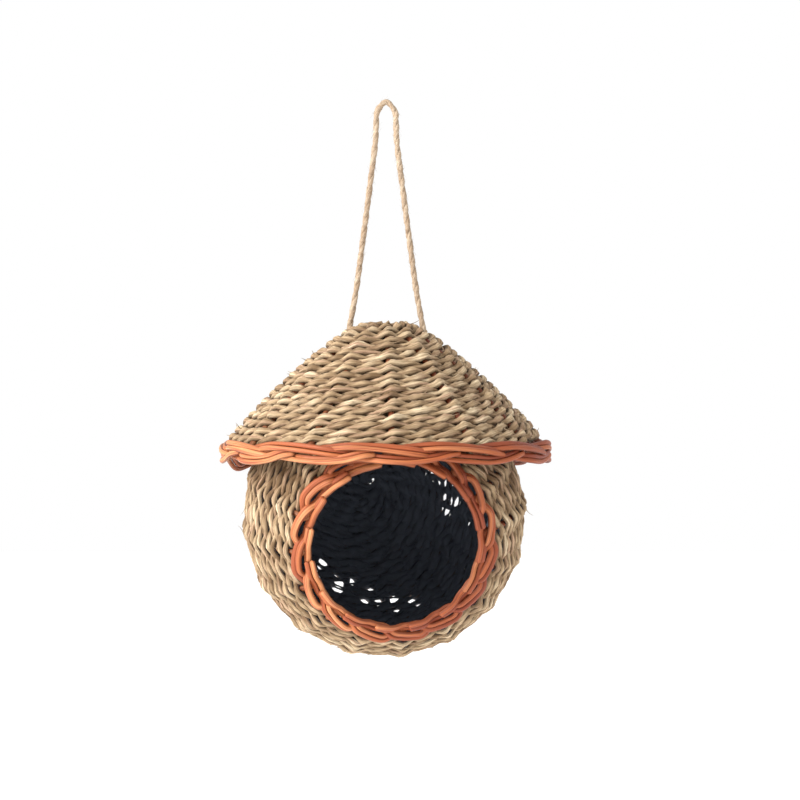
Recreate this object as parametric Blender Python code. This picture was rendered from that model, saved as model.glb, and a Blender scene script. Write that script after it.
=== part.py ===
# A hand-woven bird nest that hangs on a cord: a round pot lying on its side with its mouth to
# the front, a cone-shaped roof over it, and the orange reeds that both are woven on, whose
# ends are rolled into a border round the mouth and round the eaves. Metres, +Z up, the mouth
# faces -Y, and the origin is the underside of the cord's loop, where a hook bears.
import math

import bmesh
import bpy
import numpy as np
from mathutils import Matrix, Vector

MM = 0.001

# Materials that the sizes follow from
REED = 3.0 * MM  # diameter of an orange reed
CORD = 2.9 * MM  # diameter of the jute hanging cord
GAP = 0.35 * MM  # between pieces that touch
WEAVE = 2.4 * MM  # the layer of seagrass outside the reeds
REED_DEPTH = WEAVE + GAP + REED / 2  # from the weave's outer face to a reed's centre

# Roof: a blunt cone, as radius and depth below the origin, from its top down to the eaves
ROOF_OUTLINE = [
    (0.0, 102.4), (10.0, 103.8), (20.0, 107.8), (34.0, 118.0),
    (48.0, 130.2), (61.0, 142.4), (70.0, 152.0), (76.9, 160.4),
]
ROOF_REEDS = 12
ROOF_REED_TURN = 27.5  # degrees that the first reed is turned from +X, towards the front
EAVES_RADIUS = 78.5 * MM  # to the centres of the outer border reeds
EAVES_TOP = 163.6 * MM  # depth of the border's upper reeds
LOOSE_REEDS = {8: 5.0 * MM, 0: 2.5 * MM}  # roof reeds whose border run sags at the back

# Pot: near a ball, a little deeper towards the back than it is wide
POT_CENTRE = Vector((-0.8, 0.0, -197.7)) * MM
POT_RADIUS = 69.5 * MM
POT_BACK = 73.5 * MM
POT_YAW = math.radians(5.8)  # the mouth looks a little to +X
POT_PITCH = math.radians(13.5)  # and down
POT_REEDS = 16
POT_REED_TURN = 6.6  # degrees
MOUTH_ANGLE = math.radians(46.5)  # from the mouth's axis to the edge of the weave
MOUTH_RADIUS = 47.1 * MM  # to the centres of the border's outer reeds
MOUTH_FRONT = 48.6 * MM  # those reeds' distance in front of the pot's centre

# Rolled border: each reed bends aside, crosses to the free edge, runs along it and ends there
BORDER_HEIGHT = 8.7 * MM  # between the centres of its upper and lower reeds
BORDER_LAYER = 3.7 * MM  # between its outer and its inner layer
# (reeds along, share of the way to the free edge, share of the way to the inner layer)
BORDER_START = [
    (0.0, 0.15, 1.0), (0.2, 0.06, 1.0), (0.5, -0.1, 0.0), (0.8, -0.02, 0.0), (1.05, 0.15, 0.0),
]
EAVES_END = [  # turned up at its end and tucked in
    (1.28, 0.35, 0.0), (1.52, 0.57, 1.0), (1.74, 0.75, 1.0), (1.96, 0.89, 0.0),
    (2.2, 0.97, 0.0), (2.45, 0.8, 0.0), (2.66, 0.46, 0.0), (2.8, 0.32, 0.9),
]
MOUTH_END = [  # laid along the inner edge
    (1.28, 0.36, 0.0), (1.52, 0.52, 1.0), (1.8, 0.6, 1.0), (2.05, 0.69, 0.95),
    (2.3, 0.86, 0.3), (2.5, 0.97, 0.0), (2.7, 0.99, 0.0), (2.85, 0.97, 0.0),
]
SAG_SPAN = (1.6, 2.6)  # how many reeds along a sagging border run leaves and rejoins the rest

# Hanging cord: half of its route, from the middle of the loop down to its knot
CORD_TOP = CORD / 2
CORD_HALF = [
    (3.25, 0.0, -1.35), (4.6, 0.0, -4.6), (4.8, -0.2, -9.0), (5.3, -0.5, -19.0),
    (8.2, -1.4, -42.0), (11.2, -2.3, -65.0), (14.3, -3.2, -88.0), (17.6, -4.0, -107.0),
    (21.3, -4.4, -130.0), (23.0, -4.4, -141.0),
]
CORD_SPACING = 2 * CORD  # between the points of the tube
CORD_HOLE = 5.0 * MM
KNOT = 8.4 * MM

STRAW = ("seagrass", (0.58, 0.45, 0.26), 0.85)
ORANGE = ("reed", (0.72, 0.22, 0.08), 0.55)
JUTE = ("jute", (0.55, 0.42, 0.27), 0.9)


def clear_scene():
    for old in list(bpy.data.objects):
        bpy.data.objects.remove(old)


def material(name, colour, roughness):
    made = bpy.data.materials.get(name)
    if made is None:
        made = bpy.data.materials.new(name)
        made.use_nodes = True
        shader = made.node_tree.nodes["Principled BSDF"]
        shader.inputs["Base Color"].default_value = (*colour, 1.0)
        shader.inputs["Roughness"].default_value = roughness
        shader.inputs["Metallic"].default_value = 0.0
    return made


def add_object(name, data, finish):
    made = bpy.data.objects.new(name, data)
    bpy.context.scene.collection.objects.link(made)
    if finish is not None:
        data.materials.append(material(*finish))
    return made


# Smooth curve through the knots, as points evenly spaced along it.
def smooth_line(knots, count):
    knots = np.array(knots, float)
    ends = np.vstack([2 * knots[0] - knots[1], knots, 2 * knots[-1] - knots[-2]])
    fine = []
    for before, a, b, after in zip(ends, ends[1:], ends[2:], ends[3:]):
        for t in np.arange(0, 1, 0.05):
            slopes = (b - before) / 2, (after - a) / 2
            fine.append(
                (2 * t**3 - 3 * t**2 + 1) * a + (t**3 - 2 * t**2 + t) * slopes[0]
                + (3 * t**2 - 2 * t**3) * b + (t**3 - t**2) * slopes[1]
            )
    fine = np.array(fine + [knots[-1]])
    along = np.append(0, np.cumsum(np.linalg.norm(np.diff(fine, axis=0), axis=1)))
    at = np.linspace(0, along[-1], count)
    return np.stack([np.interp(at, along, column) for column in fine.T], axis=1)


# A basket's own frame: X right, Y up and Z out of its opening.
def basket_frame(origin, opening, up):
    opening = opening.normalized()
    up = (up - up.dot(opening) * opening).normalized()
    turn = Matrix((up.cross(opening), up, opening)).transposed()
    return Matrix.Translation(origin) @ turn.to_4x4()


def roof_basket():
    down = Vector((0, 0, -1))
    return {
        "name": "roof",
        "frame": basket_frame(Vector((0, 0, 0)), down, Vector((0, -1, 0))),
        "outline": smooth_line(np.array(ROOF_OUTLINE) * MM, 10),
        "reeds": ROOF_REEDS,
        "turn": math.radians(ROOF_REED_TURN),
        "sides": 3 * ROOF_REEDS,
        "clear_of_pole": 7.0 * MM,
        "border": (EAVES_RADIUS, EAVES_TOP),
        "border_lean": 0.0,
        "route": BORDER_START + EAVES_END,
        "sag": LOOSE_REEDS,
    }


def pot_outline(count):
    points = []
    for angle in np.linspace(math.pi, MOUTH_ANGLE, count):
        length = POT_BACK if angle > math.pi / 2 else POT_RADIUS
        points.append((POT_RADIUS * math.sin(angle), length * math.cos(angle)))
    return np.array(points)


def pot_basket():
    opening = Vector((
        math.sin(POT_YAW) * math.cos(POT_PITCH),
        -math.cos(POT_YAW) * math.cos(POT_PITCH),
        -math.sin(POT_PITCH),
    ))
    return {
        "name": "pot",
        "frame": basket_frame(POT_CENTRE, opening, Vector((0, 0, 1))),
        "outline": pot_outline(12),
        "reeds": POT_REEDS,
        "turn": math.radians(POT_REED_TURN),
        "sides": 2 * POT_REEDS,
        "clear_of_pole": 9.4 * MM,
        "border": (MOUTH_RADIUS, MOUTH_FRONT),
        "border_lean": math.pi / 2 - MOUTH_ANGLE + math.radians(5),
        "route": BORDER_START + MOUTH_END,
        "sag": {},
    }


# The outline moved inwards by a depth, square to the wall.
def inset(outline, depth):
    along = np.gradient(outline, axis=0)
    along[0] = (1, 0)  # level at the pole
    along /= np.linalg.norm(along, axis=1, keepdims=True)
    outward = np.stack([along[:, 1], -along[:, 0]], axis=1)
    moved = outline - depth * outward
    moved[0, 0] = 0
    return moved


def basket_wall(basket, name):
    outer = basket["outline"]
    inner = inset(outer, WEAVE)
    profile = np.vstack([outer, inner[::-1]])
    bm = bmesh.new()
    start = Matrix.Rotation(basket["turn"], 3, "Z")
    verts = [bm.verts.new(start @ Vector((r, 0, z))) for r, z in profile]
    edges = [bm.edges.new(pair) for pair in zip(verts, verts[1:])]
    bmesh.ops.spin(
        bm, geom=verts + edges, axis=(0, 0, 1), cent=(0, 0, 0),
        angle=2 * math.pi, steps=basket["sides"], use_merge=True,
    )
    bmesh.ops.remove_doubles(bm, verts=bm.verts, dist=0.01 * MM)
    bmesh.ops.recalc_face_normals(bm, faces=bm.faces)
    mesh = bpy.data.meshes.new(name)
    bm.to_mesh(mesh)
    bm.free()
    mesh.shade_smooth()
    wall = add_object(name, mesh, STRAW)
    wall.matrix_world = basket["frame"]
    return wall


# Where a reed's centre lies in the border, as radius and height in the basket's frame.
def border_place(basket, along, fall, depth, sag):
    radius, height = basket["border"]
    lean = basket["border_lean"]
    start, end = SAG_SPAN
    if start < along < end:
        sag *= math.sin(math.pi * (along - start) / (end - start)) ** 2
    else:
        sag = 0.0
    down = BORDER_HEIGHT * fall + sag
    inward = BORDER_LAYER * depth
    return (
        radius - down * math.sin(lean) - inward * math.cos(lean),
        height + down * math.cos(lean) - inward * math.sin(lean),
    )


def reed_route(basket, number):
    spacing = 2 * math.pi / basket["reeds"]
    start = basket["turn"] + number * spacing
    sag = basket["sag"].get(number, 0.0)
    inside = inset(basket["outline"], REED_DEPTH)
    kept = [p for p in inside if p[0] > basket["clear_of_pole"]]
    route = [(r, start, z) for r, z in kept[::-1][1::2]][::-1]
    for along, fall, depth in basket["route"]:
        r, z = border_place(basket, along, fall, depth, sag)
        route.append((r, start - along * spacing, z))
    return [Vector((r * math.cos(a), r * math.sin(a), z)) for r, a, z in route]


def tube(name, points, diameter, rings, finish):
    data = bpy.data.curves.new(name, "CURVE")
    data.dimensions = "3D"
    data.bevel_depth = diameter / 2
    data.bevel_resolution = rings
    data.use_fill_caps = True
    spline = data.splines.new("POLY")
    spline.points.add(len(points) - 1)
    for point, place in zip(spline.points, points):
        point.co = (*place, 1.0)
    return add_object(name, data, finish)


def basket_reeds(basket):
    for number in range(basket["reeds"]):
        name = f"{basket['name']}_reed_{number + 1:02d}"
        reed = tube(name, reed_route(basket, number), REED, 1, ORANGE)
        reed.matrix_world = basket["frame"]


# The cord from its knot on the left, over the loop, to its knot on the right.
def cord_line():
    half = [Vector(place) * MM for place in CORD_HALF]
    left = [Vector((-x, -y, z)) for x, y, z in half]
    knots = left[::-1] + [Vector((0, 0, CORD_TOP))] + half
    rough = smooth_line(knots, 400)
    length = np.linalg.norm(np.diff(rough, axis=0), axis=1).sum()
    return smooth_line(knots, 2 * round(length / CORD_SPACING / 2) + 1)


def cord_holes(wall, low, high):
    for side, (x, y) in {"left": (-1, -1), "right": (1, 1)}.items():
        ends = [place for place in CORD_HALF if low <= place[2] <= high]
        centre = sum((Vector(place) for place in ends), Vector()) / len(ends) * MM
        bpy.ops.mesh.primitive_cylinder_add(
            vertices=10, radius=CORD_HOLE / 2, depth=16 * MM,
            location=(x * centre.x, y * centre.y, centre.z),
        )
        cutter = bpy.context.object
        cutter.name = f"{wall.name}_hole_{side}"
        cutter.hide_render = True
        cutter.display_type = "WIRE"
        cut = wall.modifiers.new(f"hole_{side}", "BOOLEAN")
        cut.operation = "DIFFERENCE"
        cut.solver = "EXACT"
        cut.object = cutter


def cord_knot(name, side):
    x, y, z = CORD_HALF[-1]
    bm = bmesh.new()
    bmesh.ops.create_icosphere(bm, subdivisions=2, radius=KNOT / 2)
    mesh = bpy.data.meshes.new(name)
    bm.to_mesh(mesh)
    bm.free()
    mesh.shade_smooth()
    knot = add_object(name, mesh, JUTE)
    knot.location = Vector((side * x, side * y, z)) * MM - Vector((0, 0, KNOT / 2 + GAP))


clear_scene()
roof = roof_basket()
pot = pot_basket()
roof_weave = basket_wall(roof, "roof_weave")
cord_holes(roof_weave, -108, -106)
pot_weave = basket_wall(pot, "pot_weave")
cord_holes(pot_weave, -131, -129)
basket_reeds(roof)
basket_reeds(pot)
tube("hanging_cord", cord_line(), CORD, 2, JUTE)
cord_knot("cord_knot_left", -1)
cord_knot("cord_knot_right", 1)
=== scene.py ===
import math

import bmesh
import bpy
import numpy as np
from mathutils import Matrix, Vector


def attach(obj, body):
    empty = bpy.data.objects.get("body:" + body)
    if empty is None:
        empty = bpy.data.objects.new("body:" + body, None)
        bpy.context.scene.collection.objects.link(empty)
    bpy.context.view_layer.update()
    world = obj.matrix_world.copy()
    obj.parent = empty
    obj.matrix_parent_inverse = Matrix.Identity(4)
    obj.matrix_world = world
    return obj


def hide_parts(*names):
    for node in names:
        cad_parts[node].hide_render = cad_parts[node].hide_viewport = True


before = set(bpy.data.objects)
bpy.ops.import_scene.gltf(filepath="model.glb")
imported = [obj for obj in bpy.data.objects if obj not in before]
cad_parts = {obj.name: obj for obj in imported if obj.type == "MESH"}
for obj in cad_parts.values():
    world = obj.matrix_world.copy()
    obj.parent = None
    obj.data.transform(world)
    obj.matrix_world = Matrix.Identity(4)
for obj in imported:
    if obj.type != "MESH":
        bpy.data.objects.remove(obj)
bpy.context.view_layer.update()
mm = 0.001


# A smooth curve through the knots, as points evenly spaced along it.
def smoothLine(knots, count):
    knots = np.array(knots, float)
    ends = np.vstack([2 * knots[0] - knots[1], knots, 2 * knots[-1] - knots[-2]])
    fine = []
    for before, a, b, after in zip(ends, ends[1:], ends[2:], ends[3:]):
        for t in np.arange(0, 1, 0.05):
            slopeA, slopeB = (b - before) / 2, (after - a) / 2
            fine.append(
                (2 * t**3 - 3 * t**2 + 1) * a + (t**3 - 2 * t**2 + t) * slopeA
                + (3 * t**2 - 2 * t**3) * b + (t**3 - t**2) * slopeB
            )
    return spaced(np.array(fine + [knots[-1]]), count)


def lengthAlong(points):
    return np.append(0, np.cumsum(np.linalg.norm(np.diff(points, axis=0), axis=1)))


def spaced(points, count):
    along = lengthAlong(points)
    at = np.linspace(0, along[-1], count)
    return np.stack([np.interp(at, along, column) for column in points.T], axis=1)


def smooth(low, high, values):
    t = np.clip((values - low) / (high - low), 0, 1)
    return t * t * (3 - 2 * t)


def unit(vectors):
    return vectors / np.maximum(np.linalg.norm(vectors, axis=-1, keepdims=True), 1e-12)


# A strand's ends are rounded off over this reach.
def endTaper(length, reach):
    return np.clip(np.minimum(length, length[-1] - length) / reach, 0, 1) ** 0.5


# Two directions square to a line at each point, turning as little as they can along it.
def crossAxes(points, hint):
    tangents = unit(np.gradient(points, axis=0))
    side = np.zeros_like(points)
    last = np.array(hint, float)
    for number, tangent in enumerate(tangents):
        last = last - last.dot(tangent) * tangent
        last /= np.linalg.norm(last)
        side[number] = last
    return side, np.cross(tangents, side)


# Blender's curve bevel gives a tube its faces, and each ring is then pressed to its shape.
def tubeMesh(name, lines, sides):
    data = bpy.data.curves.new(name, "CURVE")
    data.dimensions = "3D"
    data.bevel_depth = mm
    data.bevel_resolution = (sides - 4) // 2
    for line in lines:
        spline = data.splines.new("POLY")
        spline.points.add(len(line) - 1)
        spline.points.foreach_set("co", np.c_[line, np.ones(len(line))].ravel())
    holder = bpy.data.objects.new(name, data)
    mesh = bpy.data.meshes.new_from_object(holder)
    bpy.data.objects.remove(holder)
    bpy.data.curves.remove(data)
    return mesh


def pressRings(mesh, centres, side, out, sideHalf, outHalf, sides, shape):
    around = np.linspace(0, 2 * math.pi, sides, endpoint=False)
    spread = shape(around) if shape else np.ones((len(centres), sides))
    across = (sideHalf[:, None] * np.cos(around) * spread)[..., None] * side[:, None]
    through = (outHalf[:, None] * np.sin(around) * spread)[..., None] * out[:, None]
    places = centres[:, None] + across + through
    mesh.vertices.foreach_set("co", places.ravel())
    return around


def setAttribute(mesh, name, kind, values):
    layer = mesh.attributes.new(name, kind, "POINT")
    key = "vector" if kind == "FLOAT_VECTOR" else "value"
    layer.data.foreach_set(key, np.ascontiguousarray(values, dtype=np.float32).ravel())


# lay follows a strand lengthwise in mm and goes round it, so a grain needs no seam.
def layAttribute(mesh, along, around, offset=0.0):
    along = np.broadcast_to((along / mm + offset)[:, None], (len(along), len(around)))
    rounds = np.broadcast_to(around, along.shape)
    setAttribute(mesh, "lay", "FLOAT_VECTOR", np.stack([along, np.cos(rounds), np.sin(rounds)], -1))


def perRing(values, sides):
    return np.repeat(values, sides)


# Ends that were pressed to a point are closed, and the faces turned outwards.
def closeUp(mesh, matrix):
    bm = bmesh.new()
    bm.from_mesh(mesh)
    bmesh.ops.remove_doubles(bm, verts=bm.verts, dist=0.002 * mm)
    bmesh.ops.recalc_face_normals(bm, faces=bm.faces)
    bmesh.ops.transform(bm, matrix=matrix, verts=bm.verts)
    bm.to_mesh(mesh)
    bm.free()
    mesh.shade_smooth()
    return mesh


def addPiece(name, mesh, finish, replaced=()):
    piece = bpy.data.objects.new(name, mesh)
    bpy.context.scene.collection.objects.link(piece)
    mesh.materials.clear()
    mesh.materials.append(finish)
    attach(piece, "root")
    if replaced:
        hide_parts(*replaced)
    return piece


def joined(name, meshes):
    parts = []
    for mesh in meshes:
        part = bpy.data.objects.new(name, mesh)
        bpy.context.scene.collection.objects.link(part)
        parts.append(part)
    with bpy.context.temp_override(
        active_object=parts[0], object=parts[0], selected_objects=parts,
        selected_editable_objects=parts,
    ):
        bpy.ops.object.join()
    mesh = parts[0].data
    bpy.data.objects.remove(parts[0])
    mesh.name = name
    return mesh


# Thin slivers that start on a surface and lift off it.
def sliverMesh(name, starts, heading, lift, lengths, radius, tones, chance):
    steps = np.linspace(0, 1, 5)
    lines = []
    for start, ahead, away, length in zip(starts, heading, lift, lengths):
        bend = np.cross(ahead, away) * chance.uniform(-0.35, 0.35)
        lines.append(
            start + length * (steps[:, None] * ahead + steps[:, None] ** 2 * (0.45 * away + bend))
        )
    lines = np.array(lines)
    mesh = tubeMesh(name, list(lines), 4)
    flat = lines.reshape(-1, 3)
    ahead = np.repeat(heading, len(steps), axis=0)
    away = np.repeat(lift, len(steps), axis=0)
    thin = np.tile(np.sqrt(1 - steps * 0.999), len(starts)) * np.repeat(radius, len(steps))
    start = np.tile(np.where(steps == 0, 0.001, 1.0), len(starts))
    side = unit(np.cross(ahead, away))
    around = pressRings(mesh, flat, side, away, thin * start * 1.6, thin * start, 4, None)
    layAttribute(mesh, np.tile(steps * 6 * mm, len(starts)), around)
    setAttribute(mesh, "tone", "FLOAT", np.repeat(tones, len(steps) * 4))
    return mesh


def addNode(tree, kind, at, **settings):
    made = tree.nodes.new(kind)
    made.location = at
    for key, value in settings.items():
        setattr(made, key, value)
    return made


def groupSockets(tree, inputs, outputs):
    for name, kind, default in inputs:
        socket = tree.interface.new_socket(name=name, in_out="INPUT", socket_type=kind)
        if default is not None:
            socket.default_value = default
    for name, kind in outputs:
        tree.interface.new_socket(name=name, in_out="OUTPUT", socket_type=kind)
    return (
        addNode(tree, "NodeGroupInput", (-900, 0)),
        addNode(tree, "NodeGroupOutput", (900, 0)),
    )


# Streaks that run along a strand, and slower flecks of another shade.
def grainGroup():
    tree = bpy.data.node_groups.new("strandGrain", "ShaderNodeTree")
    start, end = groupSockets(
        tree,
        [
            ("Lay", "NodeSocketVector", None), ("Lengthwise", "NodeSocketFloat", 0.12),
            ("Around", "NodeSocketFloat", 2.2), ("Contrast", "NodeSocketFloat", 0.2),
        ],
        [("Streak", "NodeSocketFloat"), ("Fleck", "NodeSocketFloat")],
    )
    link = tree.links.new
    scale = addNode(tree, "ShaderNodeCombineXYZ", (-700, 100))
    link(start.outputs["Lengthwise"], scale.inputs["X"])
    link(start.outputs["Around"], scale.inputs["Y"])
    link(start.outputs["Around"], scale.inputs["Z"])
    stretched = addNode(tree, "ShaderNodeVectorMath", (-520, 100), operation="MULTIPLY")
    link(start.outputs["Lay"], stretched.inputs[0])
    link(scale.outputs["Vector"], stretched.inputs[1])
    streaks = addNode(tree, "ShaderNodeTexNoise", (-320, 200))
    streaks.inputs["Scale"].default_value = 1.0
    streaks.inputs["Detail"].default_value = 3.0
    streaks.inputs["Roughness"].default_value = 0.62
    link(stretched.outputs["Vector"], streaks.inputs["Vector"])
    low = addNode(tree, "ShaderNodeMath", (-320, 0), operation="SUBTRACT")
    low.inputs[0].default_value = 0.5
    link(start.outputs["Contrast"], low.inputs[1])
    high = addNode(tree, "ShaderNodeMath", (-320, -160), operation="ADD")
    high.inputs[0].default_value = 0.5
    link(start.outputs["Contrast"], high.inputs[1])
    spread = addNode(tree, "ShaderNodeMapRange", (-80, 200))
    link(streaks.outputs["Fac"], spread.inputs["Value"])
    link(low.outputs["Value"], spread.inputs["From Min"])
    link(high.outputs["Value"], spread.inputs["From Max"])
    link(spread.outputs["Result"], end.inputs["Streak"])
    slow = addNode(tree, "ShaderNodeVectorMath", (-320, -340), operation="SCALE")
    slow.inputs["Scale"].default_value = 0.45
    link(stretched.outputs["Vector"], slow.inputs[0])
    flecks = addNode(tree, "ShaderNodeTexNoise", (-80, -300))
    flecks.inputs["Scale"].default_value = 1.0
    flecks.inputs["Detail"].default_value = 2.0
    link(slow.outputs["Vector"], flecks.inputs["Vector"])
    fleck = addNode(tree, "ShaderNodeMapRange", (160, -300))
    fleck.inputs["From Min"].default_value = 0.52
    fleck.inputs["From Max"].default_value = 0.68
    link(flecks.outputs["Fac"], fleck.inputs["Value"])
    link(fleck.outputs["Result"], end.inputs["Fleck"])
    return tree


# A dried fibre's colour: from dark to pale with the strand's tone, with streaks and flecks, and
# painted shade in the streaks' grooves.
def driedColourGroup():
    tree = bpy.data.node_groups.new("driedColour", "ShaderNodeTree")
    start, end = groupSockets(
        tree,
        [
            ("Tone", "NodeSocketFloat", 0.5), ("Streak", "NodeSocketFloat", 0.5),
            ("Fleck", "NodeSocketFloat", 0.0), ("Dark", "NodeSocketColor", None),
            ("Middle", "NodeSocketColor", None), ("Pale", "NodeSocketColor", None),
            ("Odd", "NodeSocketColor", None), ("GrooveShade", "NodeSocketFloat", 0.35),
        ],
        [("Color", "NodeSocketColor")],
    )
    link = tree.links.new

    def mixed(at, factor, first, second, blend="MIX"):
        mix = addNode(tree, "ShaderNodeMix", at, data_type="RGBA", blend_type=blend)
        link(factor, mix.inputs["Factor"])
        link(first, mix.inputs["A"])
        link(second, mix.inputs["B"])
        return mix.outputs["Result"]

    def ranged(at, value, low, high):
        made = addNode(tree, "ShaderNodeMapRange", at)
        made.inputs["From Min"].default_value = low
        made.inputs["From Max"].default_value = high
        link(value, made.inputs["Value"])
        return made.outputs["Result"]

    lower = ranged((-600, 300), start.outputs["Tone"], 0.0, 0.5)
    upper = ranged((-600, 60), start.outputs["Tone"], 0.5, 1.0)
    body = mixed((-380, 300), lower, start.outputs["Dark"], start.outputs["Middle"])
    body = mixed((-180, 300), upper, body, start.outputs["Pale"])
    body = mixed((20, 200), start.outputs["Fleck"], body, start.outputs["Odd"])
    # Partly the grain's own dark lines, partly painted shade: the streaks' low places, the grooves
    # of the bump, are mixed toward Dark.
    shadow = addNode(tree, "ShaderNodeMath", (-180, -160), operation="SUBTRACT")
    shadow.inputs[0].default_value = 1.0
    link(start.outputs["Streak"], shadow.inputs[1])
    depth = addNode(tree, "ShaderNodeMath", (20, -160), operation="MULTIPLY")
    link(shadow.outputs["Value"], depth.inputs[0])
    link(start.outputs["GrooveShade"], depth.inputs[1])
    body = mixed((260, 100), depth.outputs["Value"], body, start.outputs["Dark"])
    link(body, end.inputs["Color"])
    return tree


def attributeNode(tree, name, at):
    return addNode(tree, "ShaderNodeAttribute", at, attribute_name=name)


def strandMaterial(name, finish):
    made = bpy.data.materials.new(name)
    made.use_nodes = True
    tree = made.node_tree
    link = tree.links.new
    shader = tree.nodes["Principled BSDF"]
    shader.inputs["Specular IOR Level"].default_value = finish["specular"]
    groups = bpy.data.node_groups
    grain = addNode(tree, "ShaderNodeGroup", (-900, 0), node_tree=groups["strandGrain"])
    link(attributeNode(tree, "lay", (-1120, 0)).outputs["Vector"], grain.inputs["Lay"])
    for key in ("Lengthwise", "Around", "Contrast"):
        grain.inputs[key].default_value = finish[key.lower()]
    colour = addNode(tree, "ShaderNodeGroup", (-640, 160), node_tree=groups["driedColour"])
    link(attributeNode(tree, "tone", (-900, 260)).outputs["Fac"], colour.inputs["Tone"])
    link(grain.outputs["Streak"], colour.inputs["Streak"])
    link(grain.outputs["Fleck"], colour.inputs["Fleck"])
    for key in ("Dark", "Middle", "Pale", "Odd"):
        colour.inputs[key].default_value = (*finish[key.lower()], 1)
    colour.inputs["GrooveShade"].default_value = finish["grooveShade"]
    shaded = addNode(tree, "ShaderNodeMix", (-400, 160), data_type="RGBA")
    link(attributeNode(tree, "shaded", (-640, -60)).outputs["Fac"], shaded.inputs["Factor"])
    link(colour.outputs["Color"], shaded.inputs["A"])
    shaded.inputs["B"].default_value = (*finish["shade"], 1)
    # Painted shade: the inside attribute mixes in the dark chamber colour where the pot's chamber
    # lies in shade.
    inside = addNode(tree, "ShaderNodeMix", (-200, 160), data_type="RGBA")
    link(attributeNode(tree, "inside", (-640, -220)).outputs["Fac"], inside.inputs["Factor"])
    link(shaded.outputs["Result"], inside.inputs["A"])
    inside.inputs["B"].default_value = (*chamberShadeColour, 1)
    link(inside.outputs["Result"], shader.inputs["Base Color"])
    rough = addNode(tree, "ShaderNodeMapRange", (-360, -120))
    rough.inputs["To Min"].default_value = finish["roughness"][1]
    rough.inputs["To Max"].default_value = finish["roughness"][0]
    link(grain.outputs["Streak"], rough.inputs["Value"])
    link(rough.outputs["Result"], shader.inputs["Roughness"])
    bump = addNode(tree, "ShaderNodeBump", (-360, -400))
    bump.inputs["Strength"].default_value = finish["bump"]
    bump.inputs["Distance"].default_value = bumpDepth
    link(grain.outputs["Streak"], bump.inputs["Height"])
    link(bump.outputs["Normal"], shader.inputs["Normal"])
    return made


finishes = {
    "seagrass": {
        "dark": (0.170, 0.098, 0.044), "middle": (0.570, 0.405, 0.235),
        "pale": (0.880, 0.710, 0.470), "odd": (0.530, 0.330, 0.215),
        "shade": (0.060, 0.033, 0.014), "grooveShade": 0.78,
        "lengthwise": 0.10, "around": 2.6, "contrast": 0.15, "roughness": (0.62, 0.85),
        "specular": 0.35, "bump": 0.8,
    },
    "reed": {
        "dark": (0.210, 0.036, 0.012), "middle": (0.450, 0.116, 0.032),
        "pale": (0.770, 0.335, 0.135), "odd": (0.340, 0.075, 0.026),
        "shade": (0.075, 0.020, 0.010), "grooveShade": 0.65,
        "lengthwise": 0.05, "around": 2.8, "contrast": 0.16, "roughness": (0.42, 0.62),
        "specular": 0.35, "bump": 0.45,
    },
    "jute": {
        "dark": (0.290, 0.195, 0.125), "middle": (0.510, 0.390, 0.275),
        "pale": (0.680, 0.560, 0.420), "odd": (0.430, 0.300, 0.190),
        "shade": (0.200, 0.125, 0.075), "grooveShade": 0.5,
        "lengthwise": 0.35, "around": 3.2, "contrast": 0.2, "roughness": (0.75, 0.95),
        "specular": 0.25, "bump": 0.7,
    },
}
chamberShadeColour = (0.080, 0.094, 0.120)  # painted shade: the near-black colour of the pot's unlit chamber, painted on what faces it
bumpDepth = 0.25 * mm


camera = {
    "distance": 1.8,  # metres in front of what it looks at
    "across": 0.3856,  # width of the view there, in metres
    "centre": (0.0067, 0.0, -0.1422),
    "sensor": 36,
}
keyLight = {"place": (-1.7, -1.0, 0.7), "size": 1.0, "power": 60, "aim": (0, 0, -0.15)}
stage = {"half": 5, "height": -0.42, "grey": 0.93, "roughness": 0.9, "glow": 0.3, "sky": 1.0}


def makeCamera():
    data = bpy.data.cameras.new("camera")
    data.sensor_width = camera["sensor"]
    data.lens = camera["sensor"] * camera["distance"] / camera["across"]
    data.clip_end = 20
    made = bpy.data.objects.new("camera", data)
    x, y, z = camera["centre"]
    made.location = (x, y - camera["distance"], z)
    made.rotation_euler = (math.pi / 2, 0, 0)
    bpy.context.scene.collection.objects.link(made)
    bpy.context.scene.camera = made


def makeLight():
    data = bpy.data.lights.new("key", "AREA")
    data.shape = "DISK"
    data.size = keyLight["size"]
    data.energy = keyLight["power"]
    made = bpy.data.objects.new("key", data)
    made.location = keyLight["place"]
    toward = Vector(keyLight["aim"]) - Vector(keyLight["place"])
    made.rotation_euler = toward.to_track_quat("-Z", "Y").to_euler()
    bpy.context.scene.collection.objects.link(made)


def makeStage():
    bm = bmesh.new()
    bmesh.ops.create_grid(bm, x_segments=1, y_segments=1, size=stage["half"])
    bmesh.ops.translate(bm, verts=bm.verts, vec=(0, 0, stage["height"]))
    mesh = bpy.data.meshes.new("floor")
    bm.to_mesh(mesh)
    bm.free()
    floor = bpy.data.objects.new("floor", mesh)
    bpy.context.scene.collection.objects.link(floor)
    paint = bpy.data.materials.new("floorPaint")
    paint.use_nodes = True
    shader = paint.node_tree.nodes["Principled BSDF"]
    shader.inputs["Base Color"].default_value = (*[stage["grey"]] * 3, 1)
    shader.inputs["Roughness"].default_value = stage["roughness"]
    shader.inputs["Emission Color"].default_value = (1, 1, 1, 1)
    shader.inputs["Emission Strength"].default_value = stage["glow"]
    mesh.materials.append(paint)
    world = bpy.data.worlds.new("studio")
    world.use_nodes = True
    sky = world.node_tree.nodes["Background"]
    sky.inputs["Color"].default_value = (1, 1, 1, 1)
    sky.inputs["Strength"].default_value = stage["sky"]
    bpy.context.scene.world = world


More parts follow.
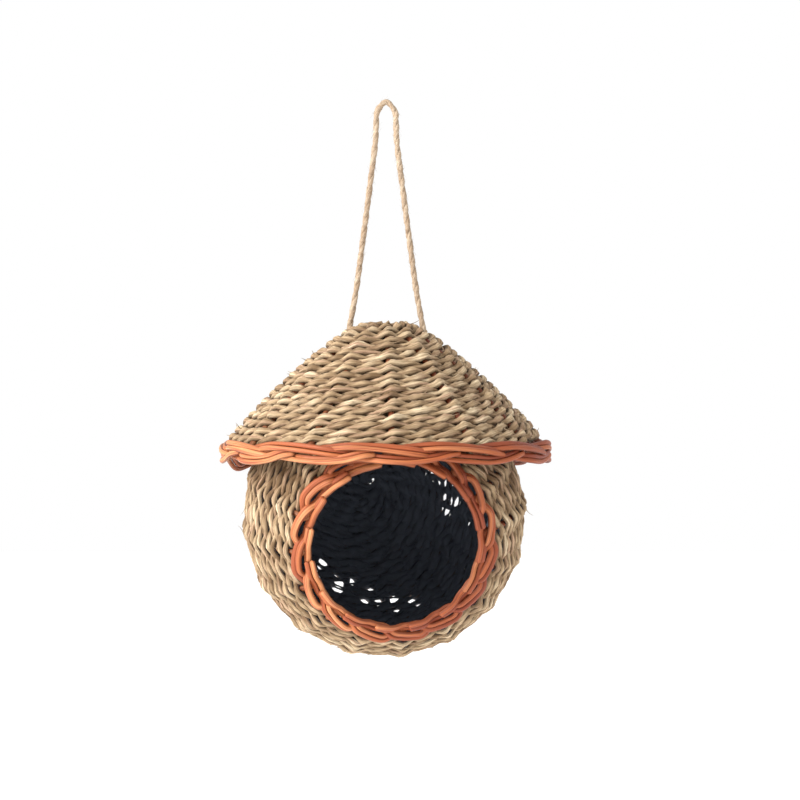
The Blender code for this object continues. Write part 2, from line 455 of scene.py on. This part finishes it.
cord = {
    "diameter": 2.9 * mm,
    "topRise": 1.45 * mm,  # the loop's middle above the origin, where a hook bears
    "half": [  # from the middle of the loop down to the knot, in mm
        (3.25, 0.0, -1.35), (4.6, 0.0, -4.6), (4.8, -0.2, -9.0), (5.3, -0.5, -19.0),
        (8.2, -1.4, -42.0), (11.2, -2.3, -65.0), (14.3, -3.2, -88.0), (17.6, -4.0, -107.0),
        (21.3, -4.4, -130.0), (23.0, -4.4, -141.0),
    ],
    "rings": 381,
    "sides": 14,
    "layLength": 13 * mm,  # one full turn of its two plies
    "plyAway": 0.42 * mm,  # from the cord's middle to a ply's middle
    "plyHalf": 1.03 * mm,
    "plyFlat": 1.12,
    "yarns": 5,
    "yarnRelief": 0.07,
    "endTaper": 1.2 * mm,
    "hairs": 260,
    "hairLength": (1.8 * mm, 4.2 * mm),
    "hairRadius": 0.05 * mm,
    "bareRings": 70,  # no hairs this near its ends
    "seed": 11,
}
knot = {
    "size": 8.4 * mm, "gap": 0.35 * mm, "strand": 1.35 * mm, "rings": 90, "sides": 12,
    "layLength": 5 * mm, "relief": 0.12, "tone": 0.45,
}


def cordLine(count):
    half = [np.array(place) * mm for place in cord["half"]]
    left = [place * (-1, -1, 1) for place in half]
    return smoothLine(left[::-1] + [np.array((0, 0, cord["topRise"]))] + half, count)


# Two plies laid round each other.
def makeCord(finish):
    line = cordLine(cord["rings"])
    length = lengthAlong(line)
    side, out = crossAxes(line, (0, 1, 0))
    turn = 2 * math.pi * length / cord["layLength"]
    taper = endTaper(length, cord["endTaper"])
    chance = np.random.default_rng(cord["seed"])
    meshes = []
    for ply in (0, 1):
        angle = turn + ply * math.pi
        away = unit(side * np.cos(angle)[:, None] + out * np.sin(angle)[:, None])
        across = unit(-side * np.sin(angle)[:, None] + out * np.cos(angle)[:, None])
        centres = line + away * cord["plyAway"]
        uneven = 0.05 * np.sin(length / (3.1 * mm) + ply) + 0.04 * np.sin(length / (1.7 * mm))
        half = cord["plyHalf"] * (1 + uneven)

        def yarns(around):
            spread = cord["yarns"] * around[None] - 2 * angle[:, None]
            return 1 + cord["yarnRelief"] * np.cos(spread)

        mesh = tubeMesh("cordPly", [centres], cord["sides"])
        around = pressRings(
            mesh, centres, across, away, half * cord["plyFlat"] * taper, half * taper,
            cord["sides"], yarns,
        )
        layAttribute(mesh, length, around, 400 * ply)
        tone = 0.5 + 0.2 * np.sin(length / (23 * mm) + 2 * ply)
        tone = tone + 0.12 * chance.standard_normal(len(line))
        setAttribute(mesh, "tone", "FLOAT", perRing(np.clip(tone, 0, 1), cord["sides"]))
        inner = smooth(0.2, -0.9, np.broadcast_to(np.sin(around), (len(line), len(around))))
        setAttribute(mesh, "shaded", "FLOAT", 0.5 * inner)
        meshes.append(closeUp(mesh, Matrix.Identity(4)))
    return addPiece("hangingCord", joined("hangingCord", meshes), finish, ["hanging_cord"])


def makeCordHairs(finish):
    line = cordLine(cord["rings"])
    side, out = crossAxes(line, (0, 1, 0))
    chance = np.random.default_rng(cord["seed"] + 1)
    at = chance.integers(cord["bareRings"], len(line) - cord["bareRings"], cord["hairs"])
    angle = chance.uniform(0, 2 * math.pi, len(at))
    away = side[at] * np.cos(angle)[:, None] + out[at] * np.sin(angle)[:, None]
    ahead = unit(np.gradient(line, axis=0))[at] * chance.choice([-1, 1], len(at))[:, None]
    starts = line[at] + away * 0.45 * cord["diameter"]
    lengths = chance.uniform(*cord["hairLength"], len(at))
    mesh = sliverMesh(
        "cordHairs", starts, ahead, away, lengths, np.full(len(at), cord["hairRadius"]),
        chance.uniform(0.4, 1, len(at)), chance,
    )
    return addPiece("cordHairs", closeUp(mesh, Matrix.Identity(4)), finish)


# An overhand knot, as a closed trefoil of cord pulled tight.
def makeKnot(name, node, direction, finish):
    x, y, z = (value * mm for value in cord["half"][-1])
    centre = np.array((direction * x, direction * y, z - knot["size"] / 2 - knot["gap"]))
    t = np.linspace(0, 2 * math.pi, knot["rings"])
    reach = knot["size"] / 2 - knot["strand"]
    loop = np.stack([
        np.sin(t) + 2 * np.sin(2 * t), -np.sin(3 * t) * 1.3, np.cos(t) - 2 * np.cos(2 * t),
    ], axis=1) / 3 * reach
    line = centre + loop
    side, out = crossAxes(line, (0, 1, 0))
    length = lengthAlong(line)
    half = np.full(len(line), knot["strand"])
    half[[0, -1]] = 0.0
    mesh = tubeMesh(name, [line], knot["sides"])
    turn = 2 * math.pi * length / knot["layLength"]

    def plies(around):
        return 1 - knot["relief"] * np.cos(2 * around[None] - turn[:, None])

    around = pressRings(mesh, line, side, out, half, half, knot["sides"], plies)
    layAttribute(mesh, length, around)
    setAttribute(mesh, "tone", "FLOAT", np.full(len(mesh.vertices), knot["tone"]))
    return addPiece(name, closeUp(mesh, Matrix.Identity(4)), finish, [node])


reed = {
    "diameter": 3.0 * mm,
    "depth": 4.25 * mm,  # from the wall's outer face to the reed's centre
    "rings": 190,
    "sides": 16,
    "endTaper": 0.8 * mm,
    "leftLight": 0.34,  # painted light: paler towards the left, where the key light falls
    # the reeds' painted shade towards the back, which lies in shadow
    "backShadow": 0.3,
    "seed": 5,
}
border = {
    "height": 8.7 * mm,
    "layer": 2.7 * mm,
    "start": [  # reeds along, share of the way to the free edge and to the inner layer
        (0.0, 0.15, 1.0), (0.2, 0.06, 1.0), (0.5, -0.1, 0.0), (0.8, -0.02, 0.0), (1.05, 0.15, 0.0),
    ],
    "sagSpan": (1.6, 2.6),
    "thickHalf": 1.15 * mm,
}


# A basket's own frame: X right, Y up and Z out of its opening.
def basketFrame(origin, opening, up):
    opening = opening.normalized()
    up = (up - up.dot(opening) * opening).normalized()
    turn = Matrix((up.cross(opening), up, opening)).transposed()
    return Matrix.Translation(origin) @ turn.to_4x4()


def insetLine(outline, depth):
    along = np.gradient(outline, axis=0)
    along[0] = (1, 0)  # level at the pole
    along = unit(along)
    outward = np.stack([along[:, 1], -along[:, 0]], axis=1)
    moved = outline - depth * outward
    moved[0, 0] = 0
    return moved


roofShape = {
    "outline": [  # radius and depth below the origin, in mm
        (0.0, 102.4), (10.0, 103.8), (20.0, 107.8), (34.0, 118.0),
        (48.0, 130.2), (61.0, 142.4), (70.0, 152.0), (76.9, 160.4),
    ],
    "reeds": 12,
    "turn": 27.5,
    "clearOfPole": 7.0 * mm,
    "eaves": (78.5 * mm, 163.6 * mm),
    "drawnIn": (0.07, 0.71),  # the parted reeds' share of the border's height: offset and scale
    "parting": 1.2 * mm,  # from a bent reed's middle to the middle of each half it splits into
    "wideHalf": 1.25 * mm,
    "routeEnd": [
        (1.28, 0.35, 0.0), (1.52, 0.57, 1.0), (1.74, 0.75, 1.0), (1.96, 0.89, 0.0),
        (2.2, 0.97, 0.0), (2.45, 0.8, 0.0), (2.66, 0.46, 0.0), (2.8, 0.32, 0.9),
    ],
    "sag": {8: 5.0 * mm, 0: 2.5 * mm},  # the reeds that hang loose, and how far
}


def roofBasket():
    return {
        "name": "roof",
        "frame": basketFrame(Vector((0, 0, 0)), Vector((0, 0, -1)), Vector((0, -1, 0))),
        "outline": smoothLine(np.array(roofShape["outline"]) * mm, 10),
        "fineOutline": smoothLine(np.array(roofShape["outline"]) * mm, 80),
        "heart": Vector((0, 0, 190 * mm)),
        "reeds": roofShape["reeds"],
        "turn": math.radians(roofShape["turn"]),
        "clearOfPole": roofShape["clearOfPole"],
        "border": roofShape["eaves"],
        "lean": 0.0,
        "route": border["start"] + roofShape["routeEnd"],
        **{key: roofShape[key] for key in ("drawnIn", "parting", "wideHalf")},
        "sag": roofShape["sag"],
    }


potShape = {
    "centre": (-0.8 * mm, 0.0, -197.7 * mm),
    "radius": 69.5 * mm,
    "back": 73.5 * mm,
    "yaw": 5.8,
    "pitch": 13.5,
    "reeds": 16,
    "turn": 6.6,
    "clearOfPole": 9.4 * mm,
    "mouthAngle": 46.5,
    "mouth": (47.1 * mm, 48.6 * mm),
    "lean": 48.5,
    "drawnIn": (0.06, 0.90),
    "parting": 1.4 * mm,
    "wideHalf": 1.45 * mm,
    "routeEnd": [
        (1.28, 0.36, 0.0), (1.52, 0.52, 1.0), (1.8, 0.6, 1.0), (2.05, 0.69, 0.95),
        (2.3, 0.86, 0.3), (2.5, 0.97, 0.0), (2.7, 0.99, 0.0), (2.85, 0.97, 0.0),
    ],
}


def potOutline(count):
    points = []
    for angle in np.linspace(math.pi, math.radians(potShape["mouthAngle"]), count):
        length = potShape["back"] if angle > math.pi / 2 else potShape["radius"]
        points.append((potShape["radius"] * math.sin(angle), length * math.cos(angle)))
    return np.array(points)


def potBasket():
    yaw, pitch = math.radians(potShape["yaw"]), math.radians(potShape["pitch"])
    opening = Vector((
        math.sin(yaw) * math.cos(pitch), -math.cos(yaw) * math.cos(pitch), -math.sin(pitch),
    ))
    return {
        "name": "pot",
        "frame": basketFrame(Vector(potShape["centre"]), opening, Vector((0, 0, 1))),
        "outline": potOutline(12),
        "fineOutline": potOutline(90),
        "heart": Vector((0, 0, 0)),
        "reeds": potShape["reeds"],
        "turn": math.radians(potShape["turn"]),
        "clearOfPole": potShape["clearOfPole"],
        "border": potShape["mouth"],
        "lean": math.radians(potShape["lean"]),
        "route": border["start"] + potShape["routeEnd"],
        **{key: potShape[key] for key in ("drawnIn", "parting", "wideHalf")},
        "sag": {},
    }


# Where a reed's centre lies in the border, as radius and height in the basket's frame.
def borderPlace(basket, along, fall, depth, sag):
    radius, height = basket["border"]
    lean = basket["lean"]
    start, end = border["sagSpan"]
    if start < along < end:
        sag *= math.sin(math.pi * (along - start) / (end - start)) ** 2
    else:
        sag = 0.0
    first, share = basket["drawnIn"]
    down = border["height"] * (first + fall * share) + sag
    inward = border["layer"] * depth
    return (
        radius - down * math.sin(lean) - inward * math.cos(lean),
        height + down * math.cos(lean) - inward * math.sin(lean),
    )


# A reed's line from near the pole to its tucked end, and the part of it that is in the border.
def reedRoute(basket, number):
    spacing = 2 * math.pi / basket["reeds"]
    start = basket["turn"] + number * spacing
    sag = basket["sag"].get(number, 0.0)
    inside = insetLine(basket["outline"], reed["depth"])
    kept = [p for p in inside if p[0] > basket["clearOfPole"]]
    upright = [(r, start, z) for r, z in kept[::-1][1::2]][::-1]
    rolled = [
        (*borderPlace(basket, along, fall, depth, sag), start - along * spacing)
        for along, fall, depth in basket["route"]
    ]
    route = upright + [(r, a, z) for r, z, a in rolled]
    knots = np.array([(r * math.cos(a), r * math.sin(a), z) for r, a, z in route])
    line = smoothLine(knots, reed["rings"])
    free = lengthAlong(line) - lengthAlong(knots)[len(upright)]
    return line, smooth(-1 * mm, 5 * mm, free)


# Where it bends into the border a reed parts lengthwise in two, one half riding over the other.
def makeReed(basket, number, finish):
    chance = np.random.default_rng(reed["seed"] + 97 * number + len(basket["name"]))
    line, rolled = reedRoute(basket, number)
    length = lengthAlong(line)
    outward = unit(line - np.array(basket["heart"]))
    tangents = unit(np.gradient(line, axis=0))
    side = unit(np.cross(tangents, outward))
    out = np.cross(side, tangents)
    wave = chance.uniform(0, 6.3, 6)
    ride = 0.45 * np.sin(length / (17 * mm) + wave[2]) + 0.2
    away = side * np.cos(ride)[:, None] + out * np.sin(ride)[:, None]
    shade = chance.uniform(-0.22, 0.22)
    x, y = np.array([(basket["frame"] @ Vector(place)).xy for place in line]).T
    # Painted shade: the reed's tone drops towards the back, which lies in shadow.
    shade = shade - reed["backShadow"] * smooth(10 * mm, 40 * mm, y)
    meshes = []
    for half, first in ((1, 0), (-1, int(np.argmax(rolled > 0)))):
        shown = slice(first, None)
        centres = (line + away * (half * basket["parting"] * rolled)[:, None])[shown]
        run = length[shown] - length[first]
        size = 1 + 0.07 * np.sin(run / (9 * mm) + wave[0] + half)
        size = size + 0.04 * np.sin(run / (4.3 * mm) + wave[1])
        taper = endTaper(run, reed["endTaper"])
        plain, bent = (1 - rolled[shown]) * reed["diameter"] / 2, rolled[shown]
        wide = (plain + basket["wideHalf"] * bent) * size * taper
        thick = (plain + border["thickHalf"] * bent) * size * taper
        drift = wave[3] + 2 * half + 0.5 * np.sin(run / (30 * mm) + wave[4])

        def creased(around):
            spread = np.angle(np.exp(1j * (around[None] - drift[:, None])))
            crease = 0.12 * np.exp(-((spread / 0.4) ** 2))
            return 1 + 0.05 * np.cos(2 * around[None] + wave[0]) - crease

        mesh = tubeMesh("reedHalf", [centres], reed["sides"])
        around = pressRings(
            mesh, centres, side[shown], out[shown], wide, thick, reed["sides"], creased,
        )
        layAttribute(mesh, run, around, 300 * number + 150 * half)
        # Painted light and shade: paler towards the left where the light falls, darker at the back;
        # the rest is the reed's own random tone.
        tone = 0.5 - reed["leftLight"] * x[shown] / (80 * mm) + shade[shown] + 0.16 * half
        tone = np.clip(tone + 0.1 * np.sin(run / (14 * mm) + wave[5] + half), 0, 1)
        setAttribute(mesh, "tone", "FLOAT", perRing(tone, reed["sides"]))
        edges = 0.55 * smooth(0.7, 1.0, np.abs(np.cos(around)))
        setAttribute(mesh, "shaded", "FLOAT", np.maximum(edges[None], 0.6 * (1 - bent)[:, None]))
        if basket["name"] == "pot":  # painted shade: what shows inside the chamber is painted as dark as the shaded chamber
            woven = smooth(2.0 * mm, -1.0 * mm, line[shown, 2] - 36 * mm)
            inner = woven[:, None] * smooth(0.3, -0.5, np.sin(around))[None]
        else:
            inner = np.zeros((len(run), reed["sides"]))
        setAttribute(mesh, "inside", "FLOAT", inner)
        meshes.append(closeUp(mesh, basket["frame"]))
    node = f"{basket['name']}_reed_{number + 1:02d}"
    name = f"{basket['name']}Reed{number + 1:02d}"
    return addPiece(name, joined(name, meshes), finish, [node])


roofWeave = {
    "seed": 21, "fraySeed": 61, "frays": 90, "sides": 12, "step": 1.75 * mm,
    "pitchAt": [0.0, 1.0], "pitch": [4.7 * mm, 4.3 * mm],
    "firstRow": 0.5 * mm, "endGap": 0.4 * mm,
    "stitch": 11.5 * mm, "sideAmp": 1.3 * mm,
    "sideHalf": (1.3 * mm, 2.1 * mm), "outHalf": (1.45 * mm, 1.2 * mm),
    "backWidening": 1.0, "stitchLightAndShade": 0.3,
}
potWeave = {
    "seed": 34, "fraySeed": 62, "frays": 120, "sides": 12, "step": 1.75 * mm,
    "pitchAt": [0.0, 0.5, 0.65, 1.0], "pitch": [4.2 * mm, 4.2 * mm, 3.7 * mm, 3.7 * mm],
    "firstRow": 0.5 * mm, "endGap": 0.4 * mm,
    "stitch": 10.8 * mm, "sideAmp": 1.2 * mm,
    "sideHalf": (1.25 * mm, 1.8 * mm), "outHalf": (1.4 * mm, 1.15 * mm),
    "backWidening": 1.4, "stitchLightAndShade": 0.3,
}
# What both weaves share.
twining = {
    "outAmp": 1.1 * mm,  # how far a strand swings out of the wall and in again
    "reedRise": 1.5 * mm,  # and how much further where it passes a reed
    "reedReach": 3.4 * mm,
    "wander": 0.22 * mm,
    "bladeLay": 18 * mm,  # one full turn of a strand's own blades
    "endTaper": 1.5 * mm,
    "frayLength": (2.5, 7),
    "frayHalf": (0.12, 0.26),
}
# Loose places in the pot's back wall. Angles are in degrees: round the pot's axis, and from the
# pole at the back for the rows, which slant by so much for each degree round. Each row has a
# number of gaps.
loosePlaces = [
    {
        "middle": 264, "width": 27, "rows": {49: 6, 53: 6, 57: 5}, "slant": 0.22,
        "reach": 1.95 * mm, "push": 0.8 * mm,
    },
    {
        "middle": -5, "width": 16, "rows": {30: 4, 37: 4, 45: 3}, "slant": -0.3,
        "reach": 1.95 * mm, "push": 0.2 * mm,
    },
]


# How loose the wall is at each place of a coil, and how far its rows are pushed apart there.
def looseness(psi, polar, radius, chance):
    loose, push = np.zeros_like(psi), np.zeros_like(psi)
    for place in loosePlaces:
        for row, gaps in place["rows"].items():
            spread = place["width"]
            for off in np.linspace(-spread, spread, gaps) + chance.uniform(-2.5, 2.5, gaps):
                angle = math.radians(place["middle"] + off)
                rows = polar[np.flatnonzero(np.diff(np.floor((psi - angle) / (2 * math.pi))))]
                between = (rows[1:] + rows[:-1]) / 2
                wanted = math.radians(row + place["slant"] * off)
                centre = between[np.argmin(np.abs(between - wanted))]
                size = place["reach"] * chance.uniform(0.8, 1.25)
                around = np.angle(np.exp(1j * (psi - angle))) * radius
                upward = (polar - centre) * potShape["radius"]
                share = smooth(size + 1.2 * mm, size - 0.4 * mm, np.hypot(around / 1.6, upward))
                loose = np.maximum(loose, share)
                push -= place["push"] * share * np.sign(upward)
    return loose, push


# One coil of the twined pair, from beside the opening to the pole: angle and reach along the wall.
def coilOf(basket, weave):
    line = insetLine(basket["fineOutline"], reed["depth"])[::-1]
    along = lengthAlong(line)
    angle, reach, rows = 0.0, weave["firstRow"], []
    while reach < along[-1] - weave["endGap"]:
        radius = max(np.interp(reach, along, line[:, 0]), 1.5 * mm)
        turn = min(weave["step"] / radius, 0.34)
        rows.append((angle, reach, radius))
        angle += turn
        pitch = np.interp(reach / along[-1], weave["pitchAt"], weave["pitch"])
        reach += pitch * turn / (2 * math.pi)
    return line, along, np.array(rows).T


def makeWeave(basket, weave):
    chance = np.random.default_rng(weave["seed"])
    line, along, (angle, reach, radius) = coilOf(basket, weave)
    spacing = 2 * math.pi / basket["reeds"]
    psi = basket["turn"] + angle
    count = angle / spacing
    crossings = np.arange(int(count[-1]) + 2)
    radiusAt = np.interp(crossings, count, radius)
    turns = radiusAt * spacing / weave["stitch"] + chance.uniform(-0.3, 0.3, len(crossings))
    woven = radiusAt > basket["clearOfPole"]
    turns = np.where(woven, np.maximum(1, np.round(turns)), radiusAt * spacing / (8 * mm))
    rowNumber = np.floor(crossings / basket["reeds"])
    jitter = np.where(rowNumber % 2, 0.45, -0.45) + chance.uniform(-0.25, 0.25, len(crossings))
    phaseAt = math.pi * (0.5 + np.append(0, np.cumsum(turns[:-1]))) + jitter
    phase = np.interp(count, crossings, phaseAt)
    near = np.abs(count - np.round(count)) * spacing * radius
    bump = np.exp(-((near / twining["reedReach"]) ** 2)) * smooth(5 * mm, 8 * mm, radius)

    # places along the wall, where rows wander a little
    wave = chance.uniform(0, 6.3, 6)
    swing = np.sin(count * 1.37 + wave[0]) + np.sin(count * 0.613 + wave[1])
    swing = swing + np.sin(count * 2.21 + wave[2])
    wander = twining["wander"] * swing * smooth(4 * mm, 12 * mm, radius)
    loose, push = np.zeros_like(psi), 0.0
    if basket["name"] == "pot":
        aside, ahead = (np.interp(reach, along, column) for column in line.T)
        loose, push = looseness(psi, np.arctan2(aside, -ahead), radius, chance)
    at = reach + wander + push
    slope = unit(np.stack([np.gradient(line[:, 0], along), np.gradient(line[:, 1], along)], axis=1))
    r, z = np.interp(at, along, line[:, 0]), np.interp(at, along, line[:, 1])
    slopeR, slopeZ = np.interp(at, along, slope[:, 0]), np.interp(at, along, slope[:, 1])
    ring = np.stack([np.cos(psi), np.sin(psi), np.zeros_like(psi)], axis=1)
    axis = np.array((0.0, 0.0, 1.0))
    # the line runs from the opening to the pole, so outward is to its right
    outward = unit(ring * -slopeZ[:, None] + axis * slopeR[:, None])
    centres = ring * r[:, None] + axis * z[:, None]
    travel = np.stack([-np.sin(psi), np.cos(psi), np.zeros_like(psi)], axis=1)

    if basket["name"] == "pot":  # where loose, the pair stands in line with the way through
        through = np.array(basket["frame"].to_3x3().transposed() @ Vector((0, 1, 0)))
        outward = unit(outward * (1 - loose[:, None]) + through * loose[:, None])
    up = unit(np.cross(outward, travel))
    worldZ = np.array([(basket["frame"] @ Vector(place)).z for place in centres])

    outAmp = twining["outAmp"] + twining["reedRise"] * bump
    sideAmp = weave["sideAmp"] * (1 - 0.55 * loose)
    meshes, samples = [], []
    for ply in (0, 1):
        turn = phase + ply * math.pi
        stitch = np.floor(turn / math.pi).astype(int)
        lots = int(stitch.max()) + 2
        thick = 1 + 0.10 * chance.standard_normal(lots)[stitch].clip(-1.6, 1.6)
        lean = chance.uniform(0.75, 1.25, lots)[stitch]
        tones = (0.42 + 0.22 * chance.standard_normal(lots))[stitch]
        # Painted light and shade: each stitch is paler where it lies on the face and darker where
        # the strands cross and pass under each other.
        face = np.sin(turn) ** 2
        tones = np.clip(tones + weave["stitchLightAndShade"] * (face - 0.5), 0, 1)
        # narrow where the strands cross, wide where one lies on the face
        sideHalf, outHalf = (
            low + (high - low) * face for low, high in (weave["sideHalf"], weave["outHalf"])
        )
        widening = (weave["backWidening"] - 1) * smooth(10 * mm, -25 * mm, z) * (1 - loose)
        sideHalf = sideHalf * (1 + (thick - 1) * face) * (1 - 0.7 * loose) * (1 + widening)
        outHalf = outHalf * (1 - 0.12 * loose)
        swingOut = outward * (outAmp * np.sin(turn))[:, None]
        swingUp = up * (sideAmp * lean * np.cos(turn))[:, None]
        path = centres + swingOut - swingUp
        small = smooth(1.5 * mm, 9 * mm, radius) * 0.35 + 0.65  # thinner close to the pole
        length = lengthAlong(path)
        small = small * endTaper(length, twining["endTaper"])
        twist = 2 * math.pi * length / twining["bladeLay"]
        rough = 0.04 * np.sin(length / (2.3 * mm)) + 0.03 * np.sin(length / (1.3 * mm))

        def blades(around):
            spread = around[None] + twist[:, None]
            return 1 + 0.13 * np.cos(3 * spread) + 0.06 * np.cos(5 * spread + 1.3) + rough[:, None]

        name = f"{basket['name']}Strand{ply + 1}"
        mesh = tubeMesh(name, [path], weave["sides"])
        around = pressRings(
            mesh, path, up, outward, sideHalf * small, outHalf * small, weave["sides"], blades,
        )
        layAttribute(mesh, length, around, 5000 * ply)
        # Painted shadow: the pot's weave is darker just under the roof's eaves, where the roof
        # shades it.
        roofShadow = 0.3 * smooth(-200 * mm, -178 * mm, worldZ) if basket["name"] == "pot" else 0.0
        setAttribute(mesh, "tone", "FLOAT", perRing(tones - roofShadow, weave["sides"]))
        height = (outAmp * np.sin(turn))[:, None] + outHalf[:, None] * np.sin(around)[None]
        deep = smooth(0.9 * mm, -0.9 * mm, height)
        creased = 0.7 * smooth(0.65, 1.0, np.abs(np.cos(around)))[None]
        setAttribute(mesh, "shaded", "FLOAT", np.maximum(deep, creased))
        if basket["name"] == "pot":  # painted shade: all that faces the chamber is painted as dark as the shaded chamber
            facing = smooth(-0.05, -0.45, np.sin(around))[None]
            chamberShadeMask = np.maximum(facing, smooth(-0.6 * mm, -1.5 * mm, height))
            setAttribute(mesh, "inside", "FLOAT", chamberShadeMask)
        meshes.append(closeUp(mesh, basket["frame"]))
        shown = (np.sin(turn) > 0.8) & (radius > 12 * mm)
        samples.append([values[shown] for values in (path, travel, outward, outHalf, tones)])
    return meshes, [np.concatenate(columns) for columns in zip(*samples)]


# Blade ends that have come loose from the strands.
def makeFrays(basket, weave, samples, finish):
    chance = np.random.default_rng(weave["fraySeed"])
    name, number = f"{basket['name']}Frays", weave["frays"]
    path, travel, outward, outHalf, tones = samples
    at = chance.integers(0, len(path), number)
    starts = path[at] + outward[at] * outHalf[at][:, None] * 0.8
    ahead = travel[at] * chance.choice([-1, 1], number)[:, None]
    ahead = unit(ahead + 0.35 * chance.standard_normal((number, 3)))
    ahead = unit(ahead - outward[at] * np.sum(ahead * outward[at], axis=1)[:, None])
    lengths = chance.uniform(*twining["frayLength"], number) * mm
    radius = chance.uniform(*twining["frayHalf"], number) * mm
    mesh = sliverMesh(
        name, starts, ahead, outward[at], lengths, radius, np.clip(tones[at] + 0.15, 0, 1), chance,
    )
    return addPiece(name, closeUp(mesh, basket["frame"]), finish)


def makeAll():
    bpy.context.scene.view_settings.view_transform = "Standard"
    makeCamera()
    grainGroup()
    driedColourGroup()
    seagrass = strandMaterial("seagrassStraw", finishes["seagrass"])
    reedDye = strandMaterial("orangeReed", finishes["reed"])
    jute = strandMaterial("juteTwine", finishes["jute"])
    print("finishes mixed")

    hanging = makeCord(jute)
    hairs = makeCordHairs(jute)
    knots = [
        makeKnot("cordKnotLeft", "cord_knot_left", -1, jute),
        makeKnot("cordKnotRight", "cord_knot_right", 1, jute),
    ]

    makeStage()
    makeLight()
    print("floor and light set")

    roof, pot = roofBasket(), potBasket()
    for basket in (roof, pot):
        for number in range(basket["reeds"]):
            makeReed(basket, number, reedDye)
    print("reeds made")

    roofStrands, roofTops = makeWeave(roof, roofWeave)
    addPiece("roofWeave", joined("roofWeave", roofStrands), seagrass, ["roof_weave"])
    makeFrays(roof, roofWeave, roofTops, seagrass)
    print("roof woven")
    potStrands, potTops = makeWeave(pot, potWeave)
    for strand, name in zip(potStrands, ("potWeaveFirst", "potWeaveSecond")):
        addPiece(name, strand, seagrass, ["pot_weave"])
    makeFrays(pot, potWeave, potTops, seagrass)
    print("pot woven")


makeAll()
